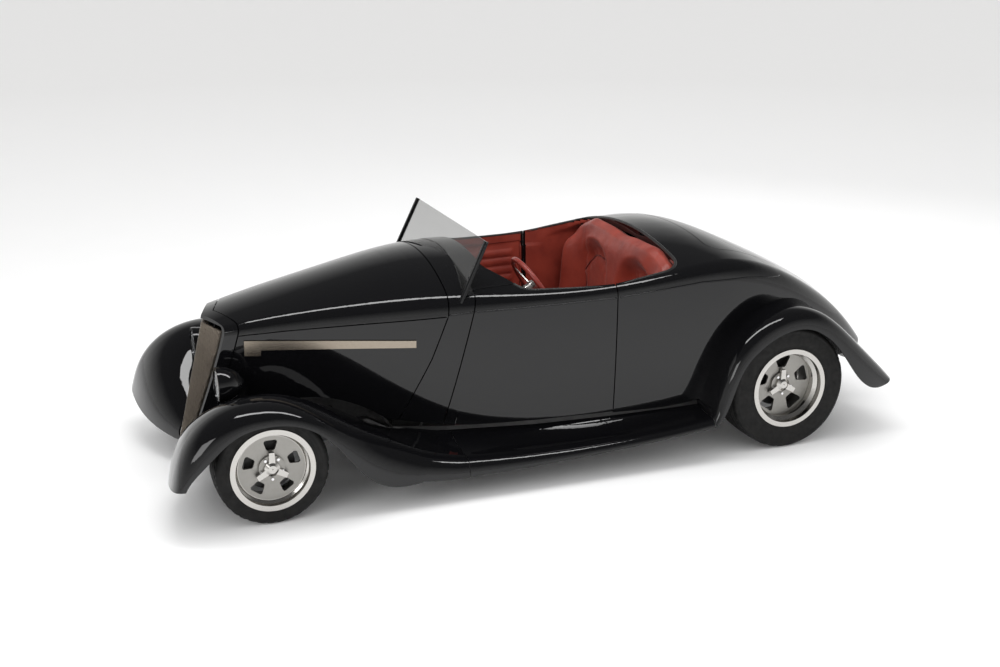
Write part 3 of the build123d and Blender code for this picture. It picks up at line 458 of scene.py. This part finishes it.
LUG_COUNT, LUG_SIDES = 5, 6
LUG_RING, LUG_R, LUG_LONG, LUG_SUNK = 0.0535, 0.0075, 0.012, 0.002
HUB_FACE_Y = {"front": 0.755, "rear": 0.718}
for corner, axle_x, _, radius, *_ in TYRES:
    for side, sign in SIDES:
        points, faces = [], []
        for k in range(LUG_COUNT):
            turn = 2 * math.pi * (k + 0.5) / LUG_COUNT
            base = len(points)
            for out in (-LUG_SUNK, LUG_LONG):
                for t in circle_turns(LUG_SIDES):
                    points.append(
                        (
                            axle_x + LUG_RING * math.sin(turn) + LUG_R * math.cos(t),
                            sign * (HUB_FACE_Y[corner] + out),
                            radius + LUG_RING * math.cos(turn) + LUG_R * math.sin(t),
                        )
                    )
            foot = [base + m for m in range(LUG_SIDES)]
            head = [m + LUG_SIDES for m in foot]
            faces += [foot, head]
            for m in range(LUG_SIDES):
                n = (m + 1) % LUG_SIDES
                faces.append([foot[m], foot[n], head[n], head[m]])
        piece = mesh_object(f"lug_nuts_{corner}_{side}", points, faces, chrome, False)
        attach(piece, f"{corner}_{side}_wheel")


# Soft goods

SOFT_STEPS = 20
SWELL_CAP = 0.010


def soften(obj, cap, pressure=4.0):
    """Swell a pad with a short cloth run, no point moving more than cap."""
    rest = [v.co.copy() for v in obj.data.vertices]
    cloth = obj.modifiers.new("swell", "CLOTH")
    cloth.settings.use_pressure = True
    cloth.settings.uniform_pressure_force = pressure
    cloth.settings.effector_weights.gravity = 0.0
    cloth.settings.tension_stiffness = 20
    cloth.settings.compression_stiffness = 20
    cloth.settings.bending_stiffness = 4.0
    cloth.point_cache.frame_start, cloth.point_cache.frame_end = 1, SOFT_STEPS
    for step in range(1, SOFT_STEPS + 1):
        scene.frame_set(step)
    shown = obj.evaluated_get(bpy.context.evaluated_depsgraph_get())
    moved = [v.co.copy() for v in shown.data.vertices]
    obj.modifiers.remove(cloth)
    scene.frame_set(1)
    for vert, start, end in zip(obj.data.vertices, rest, moved):
        shift = end - start
        if shift.length > cap:
            shift = shift.normalized() * cap
        vert.co = start + shift
    obj.data.update()


def rounded_profile(corners, per_edge):
    """Closed outline through corner points, each corner eased by midpoint smoothing."""
    points = [Vector(p) for p in corners]
    dense = []
    for i, here in enumerate(points):
        ahead = points[(i + 1) % len(points)]
        dense += [here.lerp(ahead, k / per_edge) for k in range(per_edge)]
    for _ in range(6):
        dense = [
            (dense[i - 1] + dense[i] * 2 + dense[(i + 1) % len(dense)]) / 4 for i in range(len(dense))
        ]
    return dense


def pad_along_y(name, corners, half_y, sections, shape, mat, per_edge=14, end_round=0.05):
    """Pad made of one x-z outline carried across the car, rounded at its ends; shape() dents each point."""
    outline = rounded_profile([(x, 0, z) for x, z in corners], per_edge)
    centre = sum(outline, Vector()) / len(outline)
    loops = []
    for k in range(sections + 1):
        y = -half_y + 2 * half_y * k / sections
        away = max(abs(y) - (half_y - end_round), 0.0) / end_round
        shrink = 1 - 0.16 * (1 - math.sqrt(max(1 - away * away, 0.0)))
        loop = []
        for p in outline:
            q = centre + (p - centre) * shrink
            loop.append(shape(Vector((q.x, y, q.z))))
        loops.append(loop)
    return loops_object(name, loops, mat)


BUCKET_Y = 0.275
BUCKET_HALF = 0.225
CHANNEL_PITCH = 0.058


def back_shape(q):
    """Two scooped buckets with a raised domed insert in each."""
    lean = -0.532 - 0.115 * (q.z - 0.476)
    facing = smooth_step(-0.075, -0.02, q.x - lean)
    for centre in (-BUCKET_Y, BUCKET_Y):
        across = abs(q.y - centre)
        top = 0.990 - 0.12 * (across / BUCKET_HALF) ** 2
        scoop = smooth_step(BUCKET_HALF, 0.10, across) * smooth_step(top + 0.03, top - 0.09, q.z)
        dome_top = 0.895 - 0.14 * (across / 0.16) ** 2
        dome = smooth_step(0.160, 0.135, across) * smooth_step(dome_top + 0.012, dome_top - 0.02, q.z)
        q.x -= facing * (0.075 * scoop - 0.026 * dome)
    wing = smooth_step(0.47, 0.585, abs(q.y)) * smooth_step(0.42, 0.60, q.z) * smooth_step(1.10, 0.85, q.z)
    q.x += facing * 0.085 * wing
    high = smooth_step(0.90, 1.07, q.z)
    q.z -= high * (0.012 * smooth_step(0.18, 0.0, abs(q.y)) + 0.070 * smooth_step(0.36, 0.59, abs(q.y)))
    return q


def cushion_shape(q):
    """Two crowned seats with a low bolster round each and sewn channels."""
    topside = smooth_step(0.40, 0.46, q.z)
    for centre in (-BUCKET_Y, BUCKET_Y):
        across = abs(q.y - centre)
        dish = smooth_step(0.24, 0.14, across)
        dish = dish * smooth_step(-0.56, -0.48, q.x) * smooth_step(-0.05, -0.13, q.x)
        q.z -= topside * 0.030 * dish
        pad = smooth_step(0.165, 0.145, across)
        pad = pad * smooth_step(-0.47, -0.45, q.x) * smooth_step(-0.11, -0.13, q.x)
        channel = abs(math.sin(math.pi * (q.x + 0.47) / CHANNEL_PITCH))
        q.z += topside * pad * (0.012 + 0.010 * (channel ** 0.5 - 1))
    return q


BACK_OUTLINE = [
    (-0.548, 0.480), (-0.590, 0.985), (-0.606, 1.078), (-0.650, 1.104), (-0.730, 1.056),
    (-0.790, 0.700), (-0.790, 0.345), (-0.600, 0.345),
]
CUSHION_OUTLINE = [(-0.060, 0.300), (-0.045, 0.455), (-0.085, 0.488), (-0.515, 0.455), (-0.570, 0.300)]
seat_back = pad_along_y("seat_back_pad", BACK_OUTLINE, 0.582, 120, back_shape, leather)
seat_cushion = pad_along_y(
    "seat_cushion_pad", CUSHION_OUTLINE, 0.556, 112, cushion_shape, leather, per_edge=20
)
for pad, node in ((seat_back, "seat_back"), (seat_cushion, "seat_cushion")):
    soften(pad, SWELL_CAP)
    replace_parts(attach(pad, "chassis"), node)


def drop_on(surface, origin, direction, lift):
    """Point on a surface met from origin, raised off it along the ray."""
    hit = surface.ray_cast(Vector(origin), Vector(direction), 3.0)[0]
    return None if hit is None else hit - Vector(direction) * lift


# Piping sewn round the dome of each bucket: two legs and an arch

PIPING_R = 0.0042
PIPING_STEPS = 60
ARCH_HALF, ARCH_RISE = 0.150, 0.125
LEG_FOOT, LEG_TOP, LEG_SHARE = 0.50, 0.765, 0.3
back_face = surface_of(seat_back)
for side, sign in SIDES:
    arch = []
    for k in range(PIPING_STEPS + 1):
        share = k / PIPING_STEPS
        if share < LEG_SHARE:
            y, z = -ARCH_HALF, LEG_FOOT + (LEG_TOP - LEG_FOOT) * share / LEG_SHARE
        elif share > 1 - LEG_SHARE:
            y, z = ARCH_HALF, LEG_FOOT + (LEG_TOP - LEG_FOOT) * (1 - share) / LEG_SHARE
        else:
            turn = math.pi * (share - LEG_SHARE) / (1 - 2 * LEG_SHARE)
            y, z = -ARCH_HALF * math.cos(turn), LEG_TOP + ARCH_RISE * math.sin(turn)
        arch.append(drop_on(back_face, (0.2, sign * BUCKET_Y + y, z), (-1, 0, 0), 0.001))
    piece = tube(f"seat_piping_{side}", [p for p in arch if p], PIPING_R, leather_dark, 8)
    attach(piece, "chassis")


# Door trims: pleated hide panels with a padded pocket, laid on the doors' inner faces

PLEAT_PITCH = 0.052
PLEAT_DEEP = 0.009
TRIM_COLUMNS, TRIM_ROWS = 110, 90
TRIM_PROBES = 400


def door_trim(side, sign):
    low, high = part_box(f"door_trim_{side}")
    face = surface_of(nodes[f"door_trim_{side}"])
    inner = []
    for i in range(TRIM_ROWS + 1):
        z = low.z + 0.004 + (high.z - low.z - 0.008) * i / TRIM_ROWS
        hits = [
            x for x in (low.x + (high.x - low.x) * k / TRIM_PROBES for k in range(TRIM_PROBES + 1))
            if face.ray_cast(Vector((x, 0, z)), Vector((0, sign, 0)), 1.0)[0]
        ]
        x0, x1 = min(hits) + 0.002, max(hits) - 0.002
        row = []
        for k in range(TRIM_COLUMNS + 1):
            u = k / TRIM_COLUMNS
            x = x0 + (x1 - x0) * u
            hit = face.ray_cast(Vector((x, 0, z)), Vector((0, sign, 0)), 1.0)[0]
            row.append((x, abs(hit.y), z, u, i / TRIM_ROWS))
        inner.append(row)
    loops = []
    for row in inner:
        skin, lining = [], []
        for x, y, z, u, v in row:
            edge = min(u, 1 - u) * 9
            rim = min(edge, min(v, 1 - v) * 7, 1.0)
            swell = 0.004 * (1 - (1 - rim) ** 2)
            in_pleats = smooth_step(0.06, 0.09, u) * smooth_step(0.94, 0.91, u)
            in_pleats *= smooth_step(0.52, 0.54, v) * smooth_step(0.93, 0.91, v)
            phase = abs(math.sin(math.pi * (z - low.z) / PLEAT_PITCH))
            swell += in_pleats * PLEAT_DEEP * (phase ** 0.6 - 0.35)
            px, pz = (u - 0.36) / 0.20, (v - 0.27) / 0.13
            pocket = (abs(px) ** 3 + abs(pz) ** 3) ** (1 / 3)
            swell += 0.010 * smooth_step(1.12, 1.02, pocket) * smooth_step(0.78, 0.90, pocket)
            swell -= 0.003 * smooth_step(0.84, 0.74, pocket)
            skin.append(Vector((x, sign * (y - swell), z)))
            lining.append(Vector((x, sign * (y + 0.008 * min(rim * 3, 1)), z)))
        loops.append(skin + lining[::-1])
    piece = loops_object(f"door_panel_{side}", loops, leather)
    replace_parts(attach(piece, f"{side}_door"), f"door_trim_{side}")


for side, sign in SIDES:
    door_trim(side, sign)


# Hide linings on the inner faces of doors and quarters, up to the cockpit edge

LINING_STEP = 0.010
LINING_OFF = 0.004
# panel, body, side, x from and to, z from and to
LININGS = (
    ("door_left", "left_door", 1, -0.270, 0.30, 0.40, 1.05),
    ("door_right", "right_door", -1, -0.270, 0.30, 0.40, 1.05),
    ("rear_body", "chassis", 1, -0.740, -0.298, 0.36, 1.10),
    ("rear_body", "chassis", -1, -0.740, -0.298, 0.36, 1.10),
)


def lining(node, body, sign, x0, x1, z0, z1):
    """Thin sheet laid against a panel's inner face wherever a level ray from the cabin meets it."""
    wall = surface_of(nodes[node])
    columns, rows = int((x1 - x0) / LINING_STEP), int((z1 - z0) / LINING_STEP)
    points, index = [], {}
    for i in range(columns + 1):
        for j in range(rows + 1):
            start = Vector((x0 + i * LINING_STEP, 0.45 * sign, z0 + j * LINING_STEP))
            hit = wall.ray_cast(start, Vector((0, sign, 0)), 0.3)[0]
            if hit:
                index[i, j] = len(points)
                points.append(hit - Vector((0, sign * LINING_OFF, 0)))
    side = "left" if sign > 0 else "right"
    piece = mesh_object(f"lining_{body}_{side}", points, grid_faces(index), leather)
    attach(piece, body)


for row in LININGS:
    lining(*row)


# Belt moulding along the sides, one run on each panel

# x and height of the belt, front to rear
BELT_LINE = [
    (0.700, 0.892), (0.6145, 0.896), (0.4945, 0.908), (-0.2755, 0.924), (-0.7755, 0.962),
    (-1.0465, 0.957), (-1.30, 0.925),
]
BELT_R = 0.0045
BELT_FRONT, BELT_LONG, BELT_STEPS = 0.60, 1.90, 160
BELT_END = 0.006
EDGE_PANELS = (("door_left", "left_door"), ("door_right", "right_door"), ("rear_body", "chassis"))
BELT_RUNS = (("cowl", "chassis"), *EDGE_PANELS)
for node, body in BELT_RUNS:
    skin = surface_of(nodes[node])
    low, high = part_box(node)
    for side, sign in SIDES:
        run = []
        for k in range(BELT_STEPS + 1):
            x = BELT_FRONT - BELT_LONG * k / BELT_STEPS
            if low.x + BELT_END < x < high.x - BELT_END:
                hit = drop_on(skin, (x, sign * 1.2, table_value(BELT_LINE, x)), (0, -sign, 0), 0.0006)
                if hit and abs(hit.y) > 0.45:
                    run.append(hit)
        if len(run) > 4:
            piece = tube(f"belt_{node}_{side}", run, BELT_R, paint, 10)
            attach(piece, body)


# Padded roll round the cockpit edge, one run on each panel it crosses

COCKPIT_PLAN = [(0.34, 0.35), (0.195, 0.585), (-0.28, 0.645), (-0.68, 0.625), (-0.68, 0.0)]
CORNER_R = 0.12
ROLL_R = 0.0085
ROLL_OUT = 0.004
ROLL_END = 0.010
COCKPIT_MID_X = -0.18
PROBE_OUT = 0.02


def rounded_run(corners, radius, step=0.008):
    """Even points along a run of plan corners, each turned on an arc."""
    corners = [Vector((x, y, 0)) for x, y in corners]
    marks = [corners[0]]
    for back, here, ahead in zip(corners, corners[1:], corners[2:]):
        into, out = (here - back).normalized(), (ahead - here).normalized()
        turn = into.angle(out)
        reach = min(radius * math.tan(turn / 2), (here - back).length * 0.45, (ahead - here).length * 0.45)
        for k in range(13):
            t = k / 12
            start, end = here - into * reach, here + out * reach
            marks.append(start * (1 - t) ** 2 + here * 2 * t * (1 - t) + end * t ** 2)
    marks.append(corners[-1])
    points = []
    for start, end in zip(marks, marks[1:]):
        count = max(int((end - start).length / step), 1)
        points += [start.lerp(end, k / count) for k in range(count)]
    return [(p.x, p.y) for p in points + [marks[-1]]]


half_edge = rounded_run(COCKPIT_PLAN, CORNER_R)
whole_edge = half_edge + [(x, -y) for x, y in reversed(half_edge[:-1])]
for name, body in EDGE_PANELS:
    skin = surface_of(nodes[name])
    low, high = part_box(name)
    run = []
    for x, y in whole_edge:
        reach = math.hypot(x - COCKPIT_MID_X, y)
        outward = Vector(((x - COCKPIT_MID_X) / reach, y / reach, 0)) * PROBE_OUT
        hit = skin.ray_cast(Vector((x, y, 1.5)) + outward, Vector((0, 0, -1)), 0.7)[0]
        inside = low.x + ROLL_END < x < high.x - ROLL_END
        if hit and inside and hit.z > 0.85:
            run.append(Vector((x, y, hit.z + 0.001)) + outward * (ROLL_OUT / PROBE_OUT))
    if len(run) > 4:
        piece = tube(f"edge_roll_{name}", run, ROLL_R, edge_leather, 12)
        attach(piece, body)


# Carpet laid over the cabin floor

CARPET_X, CARPET_Y = (-0.03, 0.38), 0.50
CARPET_STEP = 0.012
CARPET_THICK = 0.006
floor_top = surface_of(nodes["floor"])
rows, columns = int((CARPET_X[1] - CARPET_X[0]) / CARPET_STEP), int(2 * CARPET_Y / CARPET_STEP)
points, index = [], {}
for i in range(rows + 1):
    for j in range(columns + 1):
        x, y = CARPET_X[0] + i * CARPET_STEP, -CARPET_Y + j * CARPET_STEP
        hit = floor_top.ray_cast(Vector((x, y, 0.75)), Vector((0, 0, -1)), 0.7)[0]
        if hit:
            index[i, j] = len(points)
            points.append(hit + Vector((0, 0, CARPET_THICK)))
piece = mesh_object("cabin_carpet", points, grid_faces(index), carpet)
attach(piece, "chassis")


# Seals that close the slit between the floor's front corners and the rising body sill

SEAL_LINE = [(0.560, 0.532), (0.603, 0.522), (0.865, 0.430)]
SEAL_LOW, SEAL_HIGH, SEAL_THICK = 0.2865, 0.350, 0.004
for side, sign in SIDES:
    loops = [
        [
            Vector((x, sign * (y + out), z))
            for z, out in ((SEAL_LOW, 0), (SEAL_LOW, SEAL_THICK), (SEAL_HIGH, SEAL_THICK), (SEAL_HIGH, 0))
        ]
        for x, y in SEAL_LINE
    ]
    piece = loops_object(f"sill_seal_{side}", loops, rubber)
    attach(piece, "chassis")


# Instruments on the dash

# y, z and radius of each dial
DIALS = ((0.42, 0.872, 0.036), (0.33, 0.872, 0.046), (0.24, 0.872, 0.036))
DIAL_SIDES = 48
# stand-off and share of the radius at each ring of a dial face
DIAL_RINGS = ((0.0005, 1.0), (0.004, 0.98), (0.0035, 0.6), (0.003, 0.2))
DIAL_MARKS, MARK_FIRST, MARK_STEP = 11, -135, 27
MARK_OFF = 0.0046
# share of the radius and half width at each corner of a mark
MARK_CORNERS = ((0.74, 0.0012), (0.74, -0.0012), (0.90, -0.0012), (0.90, 0.0012))
NEEDLE_OFF, NEEDLE_HALF = 0.0052, 0.001
face_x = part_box("dash")[0].x
for number, (y, z, r) in enumerate(DIALS):
    turns = circle_turns(DIAL_SIDES)
    ring_path = [(face_x - 0.004, y + r * math.cos(t), z + r * math.sin(t)) for t in turns]
    bezel = tube(f"dial_bezel_{number}", ring_path, 0.0042, chrome, 10, closed=True)
    disc = [
        [Vector((face_x - d, y + q * r * math.cos(t), z + q * r * math.sin(t))) for t in turns]
        for d, q in DIAL_RINGS
    ]
    dial = loops_object(f"dial_face_{number}", disc, dial_face)
    marks = []
    faces = []
    for k in range(DIAL_MARKS):
        t = math.radians(MARK_FIRST + MARK_STEP * k) + math.pi / 2
        c, s = math.cos(t), math.sin(t)
        base = len(marks)
        for rad, wide in MARK_CORNERS:
            marks.append((face_x - MARK_OFF, y + r * rad * c - wide * s, z + r * rad * s + wide * c))
        faces.append((base, base + 1, base + 2, base + 3))
    base = len(marks)
    for needle_y, needle_z in ((y - NEEDLE_HALF, z), (y + NEEDLE_HALF, z), (y + r * 0.5, z + r * 0.5)):
        marks.append((face_x - NEEDLE_OFF, needle_y, needle_z))
    faces.append((base, base + 1, base + 2))
    mark = mesh_object(f"dial_marks_{number}", marks, faces, dial_mark, False)
    for piece in (bezel, dial, mark):
        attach(piece, "chassis")


# Channels on the upright edges of the windshield

SCREEN_FOOT, SCREEN_TOP = Vector((0.536, 0.584, 0.950)), Vector((0.391, 0.572, 1.252))
CHANNEL_R, CHANNEL_STEPS = 0.0075, 24
for side, sign in SIDES:
    run = [SCREEN_FOOT.lerp(SCREEN_TOP, k / CHANNEL_STEPS) for k in range(CHANNEL_STEPS + 1)]
    piece = tube(f"screen_channel_{side}", [(p.x, sign * p.y, p.z) for p in run], CHANNEL_R, post_metal, 12)
    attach(piece, "chassis")


# Headlamp bezels

LAMP_FRONT_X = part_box("headlamp_shells")[1].x
LAMP_Y, LAMP_Z, LAMP_R = 0.362, 0.594, 0.0855
BEZEL_R, BEZEL_SIDES = 0.0085, 64
for side, sign in SIDES:
    ring_path = [
        (LAMP_FRONT_X, sign * LAMP_Y + LAMP_R * math.cos(t), LAMP_Z + LAMP_R * math.sin(t))
        for t in circle_turns(BEZEL_SIDES)
    ]
    piece = tube(f"lamp_bezel_{side}", ring_path, BEZEL_R, chrome, 12, closed=True)
    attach(piece, "chassis")


# Studio: pale floor with a painted pool of light round the car, soft lights, pale surround

floor_mat = new_material("studio_floor", (0.93, 0.93, 0.925), 0.55, Specular_IOR_Level=0.2)
vary_rough(floor_mat, noise(floor_mat, 3, 3), 0.5, 0.6)
floor_reach = add_node(floor_mat, "ShaderNodeVectorMath", operation="LENGTH")
link(floor_mat, coords(floor_mat), floor_reach.inputs[0])
# Painted light: the floor colour is brightest within 3.5 m of the middle and darkens out to 16 m, a painted
# pool of lamp light fading to painted shade far off
floor_painted_falloff = spread(floor_mat, floor_reach.outputs["Value"], 0, 1, 3.5, 16.0)
vary_color(floor_mat, floor_painted_falloff, (0.97, 0.97, 0.97), (0.87, 0.865, 0.86), 0.0, 1.0)
FLOOR_HALF = 150
floor_corners = [(a * FLOOR_HALF, b * FLOOR_HALF, 0) for a, b in ((-1, -1), (1, -1), (1, 1), (-1, 1))]
floor_obj = mesh_object("studio_floor", floor_corners, [(0, 1, 2, 3)], floor_mat, False)

world = bpy.data.worlds.new("studio")
scene.world = world
world.use_nodes = True
tree = world.node_tree
sky = tree.nodes["Background"]
path = tree.nodes.new("ShaderNodeLightPath")
direct = tree.nodes.new("ShaderNodeTexCoord")
height = tree.nodes.new("ShaderNodeSeparateXYZ")
tree.links.new(direct.outputs["Generated"], height.inputs["Vector"])
grade = tree.nodes.new("ShaderNodeValToRGB")
grade.color_ramp.elements[0].position = 0.02
grade.color_ramp.elements[0].color = (0.86, 0.86, 0.85, 1)
grade.color_ramp.elements[1].position = 0.55
grade.color_ramp.elements[1].color = (0.1, 0.1, 0.1, 1)
tree.links.new(height.outputs["Z"], grade.inputs["Fac"])


def world_mix(factor, plain, other):
    """Colour for all other rays, swapped for another where the ray is of one kind."""
    mix = tree.nodes.new("ShaderNodeMix")
    mix.data_type = "RGBA"
    tree.links.new(path.outputs[factor], mix.inputs["Factor"])
    for socket, value in ((mix.inputs[6], plain), (mix.inputs[7], other)):
        if isinstance(value, tuple):
            socket.default_value = value
        else:
            tree.links.new(value, socket)
    return mix.outputs[2]


BACKDROP = (0.86, 0.855, 0.85, 1)
tone = world_mix("Is Glossy Ray", (0.98, 0.98, 0.98, 1), grade.outputs["Color"])
tone = world_mix("Is Transmission Ray", tone, BACKDROP)
tone = world_mix("Is Camera Ray", tone, BACKDROP)
tree.links.new(tone, sky.inputs["Color"])

# name, place, target, width, depth, watts, seen in mirrors
LAMPS = (
    ("softbox_top", (0.4, 0.6, 4.6), (0.1, 0.0, 0.4), 5.0, 0.7, 100, True),
    ("softbox_front", (6.0, 4.0, 3.2), (0.6, 0.0, 0.5), 3.0, 2.0, 70, True),
    ("softbox_back", (-4.8, -4.2, 3.6), (0.0, 0.0, 0.5), 4.0, 1.4, 45, False),
)
for name, place, target, wide, deep, power, mirrored in LAMPS:
    lamp = bpy.data.lights.new(name, "AREA")
    lamp.shape = "RECTANGLE"
    lamp.size, lamp.size_y, lamp.energy = wide, deep, power
    holder = bpy.data.objects.new(name, lamp)
    holder.location = place
    holder.rotation_euler = (Vector(target) - Vector(place)).to_track_quat("-Z", "Y").to_euler()
    holder.visible_glossy = mirrored
    scene.collection.objects.link(holder)

camera_data = bpy.data.cameras.new("photo_camera")
camera_data.lens = 50.87
camera_data.sensor_width = 36.0
camera_data.clip_end = 200.0
camera = bpy.data.objects.new("photo_camera", camera_data)
camera.location = (2.776, 7.0256, 2.9215)
camera.rotation_euler = Vector((-0.3393, -0.8923, -0.2979)).to_track_quat("-Z", "Y").to_euler()
scene.collection.objects.link(camera)
scene.camera = camera
